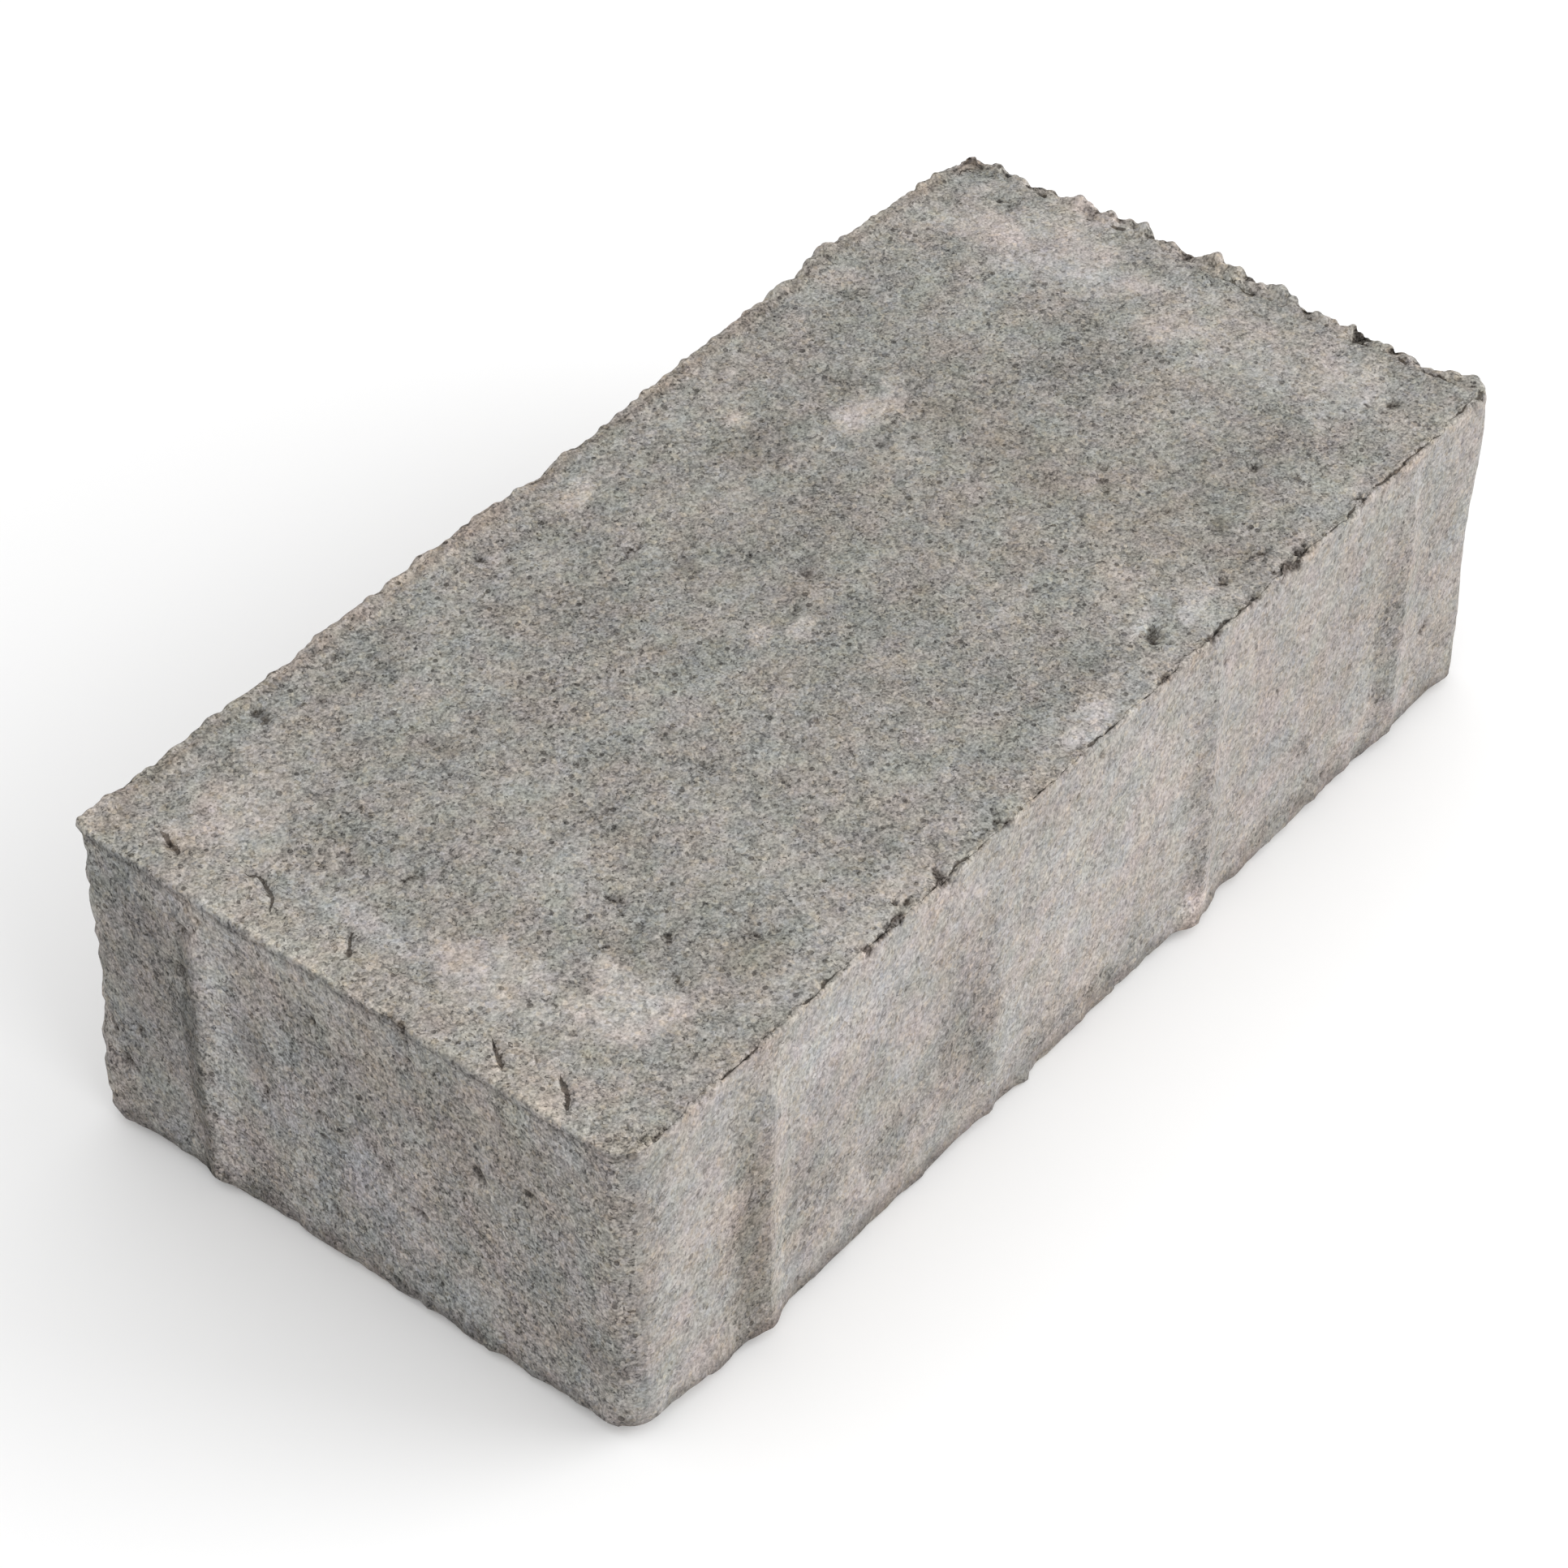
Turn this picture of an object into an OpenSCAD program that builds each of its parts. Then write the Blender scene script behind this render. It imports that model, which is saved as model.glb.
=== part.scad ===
// Pressed concrete paving stone: one solid rectangular block for a laying
// module of 210 x 105 mm, 60 mm thick. Upright ribs on its walls space it
// from its neighbours, and a raw lip stands round its pressed upper face.
//
// X runs along the length, Y across the width and Z up. The origin is the
// centre of the flat underside, on which the stone lies.

/* [Block] */
// Length between the end walls, without the ribs
body_length = 207; // [150:1:300]
// Width between the long walls, without the ribs
body_width = 102; // [80:1:200]
// Height from the underside to the top of the lip
body_height = 60; // [40:1:120]
// Radius of the four upright corners
corner_radius = 5; // [2:0.5:10]

/* [Pressed face] */
// Depth of the pressed face below the top of the lip
press_depth = 1; // [0.5:0.1:4]
// Radius of the corners of the pressed face
press_radius = 3; // [1:0.5:8]
// Width of the lip along each long wall
side_lip = 2.5; // [1.5:0.5:8]
// Width of the lip at the left end, where the most mortar was squeezed up
left_lip = 7; // [1.5:0.5:12]
// Width of the lip at the right end
right_lip = 4.5; // [1.5:0.5:12]

/* [Lower edge] */
// Height of the bevel round the underside
bevel_height = 2.5; // [1:0.5:6]
// How far the bevel draws the underside in
bevel_depth = 1; // [0.5:0.25:1.75]

/* [Spacer ribs] */
// How far a rib stands out of its wall
rib_rise = 1.5; // [0.5:0.25:3]
// Width of a rib where it leaves its wall
rib_width = 9; // [6:0.5:14]
// Number of ribs on each long wall
side_rib_count = 4; // [1:1:5]
// How far each row of ribs is moved off the middle of its wall
rib_shift = 3.5; // [0:0.5:5]
// Drop from the top of the lip to the top of a rib
rib_top_gap = 2; // [1:0.5:10]

/* [Hidden] */
$fn = 96;
concrete_grey = [0.59, 0.57, 0.54];
cut_margin = 1; // how far a cut runs out past the surface that it opens

// One stone and the joint that its ribs hold open on both sides of it
module_length = body_length + 2 * rib_rise;
module_width = body_width + 2 * rib_rise;

// The ribs of a long wall share out its length evenly. The one end rib
// stands a quarter of the width off the middle, and then the same shift.
side_rib_pitch = module_length / side_rib_count;
end_rib_place = module_width / 4 + rib_shift;

// A rib is the part of an upright cylinder that shows outside the wall: the
// segment with this chord and this rise
rib_radius = (pow(rib_width / 2, 2) + pow(rib_rise, 2)) / (2 * rib_rise);

// Section of the block from one wall to the opposite one, which are span
// apart, with the bevel along both lower edges
module wall_section(span) {
    polygon([
        [-span / 2 + bevel_depth, 0],
        [span / 2 - bevel_depth, 0],
        [span / 2, bevel_height],
        [span / 2, body_height],
        [-span / 2, body_height],
        [-span / 2, bevel_height]
    ]);
}

// Bar of that section, lying along Y and centred on the origin
module bevelled_bar(span, bar_length) {
    rotate([90, 0, 0])
        linear_extrude(height = bar_length, center = true)
            wall_section(span);
}

// Round post that forms one upright corner, bevelled at its foot
module corner_post() {
    rotate_extrude()
        polygon([
            [0, 0],
            [corner_radius - bevel_depth, 0],
            [corner_radius, bevel_height],
            [corner_radius, body_height],
            [0, body_height]
        ]);
}

// Plain block with round upright corners and a bevelled lower edge: two
// crossed bars that leave the corners free, and a post in each corner
module block() {
    post_x = body_length / 2 - corner_radius;
    post_y = body_width / 2 - corner_radius;
    bevelled_bar(body_length, 2 * post_y);
    rotate([0, 0, 90])
        bevelled_bar(body_width, 2 * post_x);
    for (x = [-post_x, post_x], y = [-post_y, post_y])
        translate([x, y, 0])
            corner_post();
}

// Rectangle with round corners
module rounded_plan(length, width, radius) {
    square([length - 2 * radius, width], center = true);
    square([length, width - 2 * radius], center = true);
    for (x = [-1, 1], y = [-1, 1])
        translate([x * (length / 2 - radius), y * (width / 2 - radius)])
            circle(r = radius);
}

// The shallow space that the press plate leaves inside the lip
module pressed_face() {
    plate_length = body_length - left_lip - right_lip;
    plate_width = body_width - 2 * side_lip;
    translate([(left_lip - right_lip) / 2, 0, body_height - press_depth])
        linear_extrude(height = press_depth + cut_margin)
            rounded_plan(plate_length, plate_width, press_radius);
}

// Upright spacer rib on the wall that lies wall_distance out along -Y
module spacer_rib(wall_distance) {
    translate([0, rib_radius - rib_rise - wall_distance, 0])
        cylinder(r = rib_radius, h = body_height - rib_top_gap);
}

// Ribs of the front long wall and of the left end
module half_of_ribs() {
    for (i = [0 : side_rib_count - 1])
        translate([rib_shift + (i - (side_rib_count - 1) / 2) * side_rib_pitch, 0, 0])
            spacer_rib(body_width / 2);
    translate([0, end_rib_place, 0])
        rotate([0, 0, -90])
            spacer_rib(body_length / 2);
}

module paving_stone() {
    color(concrete_grey)
        union() {
            difference() {
                block();
                pressed_face();
            }
            half_of_ribs();
            rotate([0, 0, 180])
                half_of_ribs();
        }
}

paving_stone();
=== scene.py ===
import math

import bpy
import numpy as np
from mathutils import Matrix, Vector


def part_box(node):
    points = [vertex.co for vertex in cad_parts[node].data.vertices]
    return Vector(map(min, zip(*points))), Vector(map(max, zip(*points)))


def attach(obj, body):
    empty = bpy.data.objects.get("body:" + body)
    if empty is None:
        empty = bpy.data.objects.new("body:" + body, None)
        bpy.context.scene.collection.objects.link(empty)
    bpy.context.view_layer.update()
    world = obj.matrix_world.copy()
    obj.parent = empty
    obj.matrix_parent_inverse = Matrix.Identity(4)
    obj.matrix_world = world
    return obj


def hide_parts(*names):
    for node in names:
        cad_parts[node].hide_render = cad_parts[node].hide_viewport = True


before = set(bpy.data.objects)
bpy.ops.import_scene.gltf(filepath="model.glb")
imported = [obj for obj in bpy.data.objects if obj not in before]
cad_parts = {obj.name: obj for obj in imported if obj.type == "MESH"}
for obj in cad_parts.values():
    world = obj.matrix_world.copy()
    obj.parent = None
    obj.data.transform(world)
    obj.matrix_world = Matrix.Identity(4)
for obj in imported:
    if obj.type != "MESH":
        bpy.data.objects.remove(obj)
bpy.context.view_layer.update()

# A pressed concrete paving stone, worked out in millimetres and built in metres.
# X runs along the length, Y across the width and Z up from the flat underside.
# The stone is one closed skin. A fine belt winds once round its raw upper rim, a
# coarser belt runs down the walls and round the foot, one grid lies inside the
# rim on the pressed face and one on the underside. Every rib, crumb, crack and
# hollow is a field that is read at each point of that skin. Each noise in it has
# a seed of its own, the last number of the call.

MM = 0.001
stone_low, stone_high = (np.array(corner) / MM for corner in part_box("paving_stone"))

# ---------------------------------------------------------------- sizes in mm

RIB_RISE = 1.5
HALF_LENGTH = (stone_high[0] - stone_low[0]) / 2 - RIB_RISE
HALF_WIDTH = (stone_high[1] - stone_low[1]) / 2 - RIB_RISE
TOP = stone_high[2]
HIGHEST_CRUMB = TOP + 1.2
CORNER_RADIUS, CRISP_CORNER, LEAST_CORNER = 5.0, 3.2, 1.0

FACE_LEVEL = TOP - 1.0
LIP_LEFT, LIP_RIGHT, LIP_BACK, LIP_FRONT = 8.0, 2.6, 2.8, 1.0
PLATE_RADIUS = 3.0

RIB_HALF_WIDTH = 4.5
RIB_SHIFT = 3.5
SIDE_RIB_PITCH = (HALF_LENGTH + RIB_RISE) / 2
END_RIB_PLACE = (HALF_WIDTH + RIB_RISE) / 2 + RIB_SHIFT
# How much nearer the middle the end rib's crest has been worn
WORN_SIDEWAYS = 1.5
SIDE_RIB_PLACES = [RIB_SHIFT + (number - 1.5) * SIDE_RIB_PITCH for number in range(4)]

# For the four ribs of a long wall and then the end rib: how far each one is left standing, how much
# painted shade lies on the flank before its crest, how far that shade reaches, and how bright the
# painted highlight on its far flank is
RIB_STRENGTHS = (0.9, 0.35, 1.0, 0.95, 1.0)
RIB_SHADE = (0.55, 0.15, 0.4, 0.45, 1.0)
RIB_SHADE_REACH = (9.0, 6.0, 6.5, 8.0, 4.0)
RIB_HIGHLIGHT = (0.3, 0.2, 0.05, 0.1, 0.45)

# Cells of the fine belt along the length and across the width, and the rows of
# the two belts. The fine belt reaches this far to both sides of the rim.
CELLS_LONG, CELLS_WIDE = 480, 240
RIM_ROWS, WALL_ROWS = 28, 34
RIM_REACH = 7.0
# Width of the band of three-sided faces between a fine belt and a coarser grid,
# and how far in the two grids of the underside start
STEP_WIDTH = 0.9
UNDER_MARGIN, UNDER_BASE = 6.0, 12.0
# Cells of the repeating lattice of random numbers, each way
LATTICE = 64


# ------------------------------------------------------------------- patterns

def lattice_noise(points, cell, seed):
    """Smooth noise from -1 to 1: random numbers on a cubic lattice of the given
    cell, blended between a cell's eight corners by 6t^5 - 15t^4 + 10t^3."""
    table = np.random.default_rng(seed).uniform(-1, 1, (LATTICE,) * 3)
    scaled = points / cell
    base = np.floor(scaled).astype(int)
    t = scaled - base
    t = t ** 3 * (t * (6 * t - 15) + 10)
    total = np.zeros(len(points))
    for corner in np.ndindex(2, 2, 2):
        weight = np.where(corner, t, 1 - t).prod(axis=1)
        i, j, k = ((base + corner) % LATTICE).T
        total += weight * table[i, j, k]
    return total


def plan_noise(x, y, cell, seed):
    """The same noise, read in plan only."""
    flat = np.stack([x, y, np.zeros_like(x)], axis=-1)
    return lattice_noise(flat.reshape(-1, 3), cell, seed).reshape(x.shape)


def crumbs(points, cell, seed):
    """Packed round crumbs: every lattice cell has a centre moved at random, with
    a dome over it, height * (1 - (distance / cell)^2). The highest dome counts."""
    draw = np.random.default_rng(seed)
    place = draw.random((LATTICE,) * 3 + (3,))
    height = draw.uniform(0.3, 1.0, (LATTICE,) * 3)
    scaled = points / cell
    base = np.floor(scaled).astype(int)
    best = np.zeros(len(points))
    for step in np.ndindex(3, 3, 3):
        near = base + step - 1
        i, j, k = (near % LATTICE).T
        gap = np.linalg.norm(near + place[i, j, k] - scaled, axis=1)
        best = np.maximum(best, height[i, j, k] * (1 - gap ** 2))
    return best


def smooth_step(value, start, end):
    """0 before start, 1 after end, 3t^2 - 2t^3 between them."""
    t = np.clip((value - start) / (end - start), 0, 1)
    return t * t * (3 - 2 * t)


def bell(value, width):
    """1 at zero, falling off to both sides by exp(-(value / width)^2)."""
    return np.exp(-(value / width) ** 2)


# ----------------------------------------------------------- plan of the stone

def eased(count, ease=0.2):
    """count + 1 places from -1 to 1, closer together towards both ends: a
    straight run mixed with a quarter sine on each side of the middle."""
    t = np.linspace(-1, 1, count + 1)
    return (1 - ease) * t + ease * np.sin(t * math.pi / 2)


def corner_radius(x, y):
    """Radius of the nearest upright corner. The near left one is worn rounder."""
    return np.where((x < 0) & (y < 0), CORNER_RADIUS, CRISP_CORNER)


def round_corners(x, y, half_x, half_y, radius):
    """Moves the points of a rectangle so that each corner square of the given
    radius fills a quarter disc: u * sqrt(1 - v^2 / 2) and v * sqrt(1 - u^2 / 2)."""
    u = np.clip((np.abs(x) - half_x + radius) / radius, 0, 1)
    v = np.clip((np.abs(y) - half_y + radius) / radius, 0, 1)
    new_x = np.minimum(np.abs(x), half_x - radius) + radius * u * np.sqrt(1 - v * v / 2)
    new_y = np.minimum(np.abs(y), half_y - radius) + radius * v * np.sqrt(1 - u * u / 2)
    return np.sign(x) * new_x, np.sign(y) * new_y


def outline_distance(x, y, half_x, half_y, radius):
    """Distance from a rectangle with round corners, positive outside it."""
    over_x = np.abs(x) - half_x + radius
    over_y = np.abs(y) - half_y + radius
    outside = np.hypot(np.maximum(over_x, 0), np.maximum(over_y, 0))
    return outside + np.minimum(np.maximum(over_x, over_y), 0) - radius


def ring_of(grid):
    """Outer ring of a grid, anticlockwise: front, right, back, then left."""
    return np.concatenate([grid[:-1, 0], grid[-1, :-1], grid[:0:-1, -1], grid[0, :0:-1]])


def plan_shares(step):
    """Grid of places in plan as shares of the half length and the half width,
    with every step-th line of the fine belt's columns."""
    along, across = eased(CELLS_LONG)[::step], eased(CELLS_WIDE)[::step]
    return np.meshgrid(along, across, indexing="ij")


def drawn_in(share_x, share_y, inset):
    """Plan of the stone drawn in by inset on all sides. Its corners keep what is
    left of their radius."""
    half_x, half_y = HALF_LENGTH - inset, HALF_WIDTH - inset
    radius = np.maximum(corner_radius(share_x, share_y) - inset, LEAST_CORNER)
    return round_corners(half_x * share_x, half_y * share_y, half_x, half_y, radius)


def outward(x, y):
    """Unit vector in plan that points out of the nearest wall or corner."""
    radius = corner_radius(x, y)
    over_x = x - np.clip(x, -HALF_LENGTH + radius, HALF_LENGTH - radius)
    over_y = y - np.clip(y, -HALF_WIDTH + radius, HALF_WIDTH - radius)
    length = np.maximum(np.hypot(over_x, over_y), 1e-9)
    return over_x / length, over_y / length


def plate_distance(x, y):
    """Distance outside the pressed face's outline. The face is set off centre,
    because the lip differs on each side, and two sizes of noise make its outline
    wander, most at the left end."""
    middle_x, middle_y = (LIP_LEFT - LIP_RIGHT) / 2, (LIP_FRONT - LIP_BACK) / 2
    half_x = HALF_LENGTH - (LIP_LEFT + LIP_RIGHT) / 2
    half_y = HALF_WIDTH - (LIP_FRONT + LIP_BACK) / 2
    steady = outline_distance(x - middle_x, y - middle_y, half_x, half_y, PLATE_RADIUS)
    loose = 0.25 + 1.5 * smooth_step(-x, HALF_LENGTH - 22, HALF_LENGTH - 6)
    loose += 0.9 * smooth_step(x, HALF_LENGTH - 16, HALF_LENGTH - 4)
    return steady + loose * (0.7 * plan_noise(x, y, 13.0, 11) + 0.45 * plan_noise(x, y, 4.2, 12))


# --------------------------------------------------------------- the four rims

def at_right(x):
    """1 at the right end, fading into the face."""
    return smooth_step(x, HALF_LENGTH - 8, HALF_LENGTH - 2)


def at_left(x):
    """1 at the left end, fading into the face."""
    return smooth_step(-x, HALF_LENGTH - 10, HALF_LENGTH - 6)


def at_back(y):
    """1 at the back wall, fading into the face."""
    return smooth_step(y, HALF_WIDTH - 6, HALF_WIDTH - 2)


def at_front(y):
    """1 at the front wall, fading into the face."""
    return smooth_step(-y, HALF_WIDTH - 5, HALF_WIDTH - 2)


def upper_level(x, y):
    """Height of the upper side: the pressed face with two sizes of noise, and the
    lip, which rises by a smooth step across the face's outline to a height that
    varies with two finer noises. It rises more at the left end, and most at the
    back."""
    face = FACE_LEVEL + 0.14 * plan_noise(x, y, 34.0, 21) + 0.06 * plan_noise(x, y, 11.0, 22)
    lip_rise = 0.35 + 0.2 * plan_noise(x, y, 6.5, 23) + 0.1 * plan_noise(x, y, 2.6, 24)
    lip_rise = lip_rise * (0.5 + 0.5 * at_left(x) + 1.2 * at_back(y))
    return face + lip_rise * smooth_step(plate_distance(x, y), -1.2, 1.4)


def rim_radius(x, y):
    """Radius to which the upper edge is worn: a slow noise about 0.55, larger in
    nicks where a finer noise is high, and smaller at the left end."""
    nicks = smooth_step(plan_noise(x, y, 4.0, 32), 0.2, 0.8)
    return (0.55 + 0.15 * plan_noise(x, y, 9.0, 31) + 0.6 * nicks) * (1 - 0.55 * at_left(x))


def foot_radius(x, y):
    """Radius to which the lower edge is worn: two noises about 1.9, and a bell
    that adds most at the near left corner."""
    near_corner = bell(np.hypot(x + HALF_LENGTH, y + HALF_WIDTH), 16.0)
    wear = 1.9 + 0.5 * plan_noise(x, y, 14.0, 33) + 0.3 * plan_noise(x, y, 5.0, 34)
    return wear + 2.8 * near_corner


# Where the front crack runs: x, and how far it lies down the wall from the rim
FRONT_CRACK = (
    (-104, 1.2), (-99, 0.2), (-92, -0.3), (-74, -0.5), (-60, -0.6), (-48, -0.2), (-30, -0.1),
    (0, -0.1), (24, -0.3), (40, -0.4), (52, -0.7), (66, -0.3), (104, 0.0))


def front_crack(x, y, run):
    """Distance from the front crack in units of its own half width, positive
    below it. Run is the way along the surface from the rim, down the wall. The
    crack's place and half width are shaken by two noises each. Away from the front
    wall the distance counts 60 times, so that no crack shows there."""
    place = np.interp(x, *zip(*FRONT_CRACK)) + 0.4 * plan_noise(x, y * 0, 3.2, 25)
    place += 0.3 * plan_noise(x, y * 0, 1.3, 26)
    gape = 0.25 + 0.8 * plan_noise(x, y * 0, 5.0, 27) + 0.9 * plan_noise(x, y * 0, 1.8, 28)
    half_width = np.clip(0.28 * gape, 0.02, 0.34)
    on_front = (at_front(y) > 0.2) & (np.abs(x) < HALF_LENGTH - 1.5)
    side = np.where(on_front, 1.0, 60.0)
    return (run - place) * side / half_width


# The open cracks along the inner side of the left lip, each as points x, y
LIP_CRACKS = (
    ((-96.6, 40.6), (-97.3, 37.3), (-98.2, 34.6)),
    ((-95.3, 26.2), (-94.4, 23.4), (-95.0, 21.2), (-96.4, 19.1), (-98.6, 17.2)),
    ((-94.4, 6.4), (-98.6, 2.6)),
    ((-96.8, -21.8), (-98.9, -24.4), (-100.5, -27.2)),
    ((-96.6, -33.4), (-98.6, -36.4), (-101.2, -38.8)),
)
# Half width of a crack where it gapes most, the half width that stands for a
# closed one, and the largest distance that is told apart
LIP_GAPE = 0.36
CLOSED = 0.004
FAR = 200.0


def lip_crack(x, y):
    """Distance from the nearest crack of the lip in units of its own half width.
    A left crack runs from end to end as x over y, and gapes by (1 - t^2)^0.35
    of its full width. The right lip opens in short stretches along its foot."""
    uneven = 0.8 + 0.5 * plan_noise(x, y, 1.6, 29)
    shake = 0.25 * plan_noise(x, y, 1.9, 37)
    right = smooth_step(plan_noise(x, y, 2.6, 36), 0.1, 0.4) * at_right(x)
    share = (plate_distance(x, y) - shake) / np.maximum(0.25 * right * uneven, CLOSED)
    for way in LIP_CRACKS:
        along, down = zip(*way[::-1])
        t = (2 * y - down[0] - down[-1]) / (down[-1] - down[0])
        gape = LIP_GAPE * uneven * np.clip(1 - t * t, 0, 1) ** 0.35
        steepness = abs(down[-1] - down[0]) / math.dist(way[0], way[-1])
        aside = (x - np.interp(y, down, along) - shake) * steepness / np.maximum(gape, CLOSED)
        share = np.where(np.abs(aside) < np.abs(share), aside, share)
    return np.clip(share, -FAR, FAR)


def raggedness(x, y):
    """How far the rim is broken up, in mm: the largest of the amounts for the
    four sides. It is most at the right end, but less again at its two corners."""
    back = 0.8 + 0.2 * smooth_step(x, 20, 90)
    from_corner = np.hypot(x - HALF_LENGTH, np.abs(y) - HALF_WIDTH)
    right = 2.0 * at_right(x) * (1 - 0.7 * bell(from_corner, 6.0))
    rims = [right, back * at_back(y), 0.30 * at_left(x), 0.35 * at_front(y)]
    return np.max(rims, axis=0)


# ----------------------------------------------------------------------- fields

def rib_profile(offset):
    """Cross-section of a rib from 0 at its sides to 1 on its crest: flanks that
    steepen towards a narrow crest, (1 - t)^1.4, with the crest's tip rounded."""
    t = np.sqrt((offset / (RIB_HALF_WIDTH + 0.9)) ** 2 + 0.012)
    return np.clip(1.1 - t, 0, 1) ** 1.4


def rib_places(points):
    """Distance across each rib at every point, growing anticlockwise round the
    stone, and whether the point's wall carries the rib. A slow noise bends the
    ribs. The back and the right end carry the ribs of the front and the left end,
    turned half round."""
    x, y, _ = points.T
    turned = np.where((y > HALF_WIDTH - 1) | (x > HALF_LENGTH - 1), -1, 1)
    drift = 0.5 * lattice_noise(points, 12.0, 42)
    on_side = np.abs(y) > HALF_WIDTH - 1
    on_end = np.abs(x) > HALF_LENGTH - 1
    places = [(turned * x - place + drift, on_side) for place in SIDE_RIB_PLACES]
    return places + [(END_RIB_PLACE - WORN_SIDEWAYS - turned * y + drift, on_end)]


def rib_field(points):
    """How far the ribs stand out of the walls: each rib's section times its
    strength and a slow noise. They fade out under the rim."""
    rise = sum(
        strength * present * rib_profile(offset)
        for (offset, present), strength in zip(rib_places(points), RIB_STRENGTHS))
    fade = smooth_step(TOP - points[:, 2], 2.0, 16.0) * 0.85 + 0.15
    worn = 1 + 0.15 * lattice_noise(points, 9.0, 41)
    return RIB_RISE * 0.95 * rise * fade * worn


def rib_shade_and_highlight_field(points):
    """Painted shade on the flank before each rib, the flank turned from the lamps, up to 1, which
    ends sharply at its crest, and a painted highlight on the lit flank beyond it, a bell down to
    -0.45. Noise shakes the outer limit, and both fade under the rim."""
    shade_and_highlight = np.zeros(len(points))
    shaken = 0.7 * lattice_noise(points, 3.0, 43) + 1.0 * lattice_noise(points, 8.0, 44)
    marks = zip(rib_places(points), RIB_SHADE, RIB_SHADE_REACH, RIB_HIGHLIGHT)
    for (offset, present), most, reach, highlight in marks:
        before = smooth_step(offset + shaken, -reach, -0.4 * reach)
        before *= smooth_step(0.9 - offset, 0, 0.9)
        shade_and_highlight += present * (most * before - highlight * bell(offset - 3.0, 2.0))
    return shade_and_highlight * (0.35 + 0.65 * smooth_step(TOP - points[:, 2], 4.0, 18.0))


# Places where the whole outline stands out or falls back: x, y, z, reach, height
SWELLS = (
    (103.5, 51.0, 60.0, 9.0, -1.9),
    (103.5, -51.0, 52.0, 14.0, 0.9),
    (103.5, -51.0, 12.0, 14.0, 0.5),
    (-103.5, 51.0, 8.0, 13.0, 1.2),
    (-3.5, 51.0, 60.0, 4.5, -1.3),
    (-28.0, 51.0, 60.0, 7.0, 0.5),
    (62.0, 51.0, 60.0, 13.0, 0.7),
    (-80.0, -51.0, 2.0, 4.0, 0.5),
    (27.5, -51.0, 2.0, 4.0, 0.7),
)

# Notable hollows: x, y, z of the centre, radius and depth
HOLLOWS = (
    (49.7, -50.6, 58.8, 1.4, 1.6),
    (48.4, -50.4, 59.2, 0.9, 1.1),
    (51.3, -50.9, 58.4, 0.9, 1.0),
    (69.0, -50.6, 58.9, 0.8, 0.9),
    (39.7, -50.5, 58.9, 0.9, 0.9),
    (30.5, -50.5, 58.9, 0.7, 0.7),
    (28.8, -50.5, 58.9, 0.7, 0.8),
    (17.6, -50.6, 58.8, 0.8, 0.9),
    (24.4, -43.5, 59.0, 0.9, 1.1),
    (25.3, -42.7, 59.0, 0.8, 0.9),
    (23.8, -44.4, 59.0, 0.6, 0.5),
    (-21.0, -50.7, 58.7, 0.9, 1.0),
    (-35.3, -50.8, 58.6, 1.1, 1.2),
    (-36.4, -50.6, 58.9, 0.8, 0.9),
    (-45.6, -50.7, 58.8, 1.1, 1.2),
    (-47.4, -50.8, 58.6, 0.9, 0.9),
    (-49.6, -50.7, 58.8, 0.7, 0.7),
    (-52.4, -50.7, 58.8, 0.8, 0.8),
    (-96.7, -50.7, 58.9, 0.9, 0.9),
    (-95.2, -50.6, 59.0, 0.6, 0.7),
    (-97.2, 37.4, 59.2, 0.6, 0.8),
    (-102.3, 19.4, 59.3, 0.6, 0.5),
    (-100.8, -19.1, 59.3, 0.6, 0.6),
    (-89.4, -29.7, 59.0, 0.6, 0.5),
    (102.6, -27.4, 59.2, 1.0, 1.3),
    (103.4, -39.6, 59.0, 1.0, 1.3),
    (-70.4, 46.8, 59.0, 0.8, 0.8),
    (-70.1, 44.9, 59.0, 0.8, 0.7),
    (-103.4, -10.9, 59.4, 1.0, 0.9),
    (-103.4, -9.4, 59.4, 0.8, 0.7),
    (-103.4, 6.0, 48.5, 0.8, 0.8),
    (-103.4, -23.0, 38.5, 1.0, 1.0),
    (-103.4, -24.4, 37.4, 0.8, 0.8),
    (-103.4, -33.0, 40.5, 0.8, 0.7),
    (-103.4, -12.0, 52.5, 0.7, 0.7),
    (-103.4, -6.0, 28.5, 0.7, 0.6),
    (-103.4, -4.5, 35.5, 0.6, 0.6),
    (-103.4, 17.0, 27.0, 0.7, 0.7),
    (-103.4, 16.9, 24.6, 0.7, 0.7),
    (-103.4, 11.0, 10.5, 0.8, 0.7),
    (-103.4, 45.0, 15.5, 0.8, 0.8),
    (-103.4, 30.5, 44.0, 0.8, 0.8),
    (-103.4, 33.5, 7.0, 0.8, 0.7),
)


def scattered_hollows():
    """Small pores strewn over the six sides with a fixed seed, each as x, y, z,
    radius and depth."""
    draw = np.random.default_rng(77)
    count = 420
    side = draw.choice(6, count, p=(0.30, 0.08, 0.16, 0.22, 0.12, 0.12))
    place = draw.uniform(-1, 1, (count, 3)) * (HALF_LENGTH - 2, HALF_WIDTH - 2, TOP / 2 - 2)
    place[:, 2] += TOP / 2
    place[side == 0, 2] = FACE_LEVEL
    place[side == 1, 2] = 0
    place[side == 2, 1] = -HALF_WIDTH
    place[side == 3, 1] = HALF_WIDTH
    place[side == 4, 0] = -HALF_LENGTH
    place[side == 5, 0] = HALF_LENGTH
    radius = 0.45 + 0.45 * draw.random(count) ** 2
    depth = radius * draw.uniform(0.4, 0.9, count)
    return np.column_stack([place, radius, depth])


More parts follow.
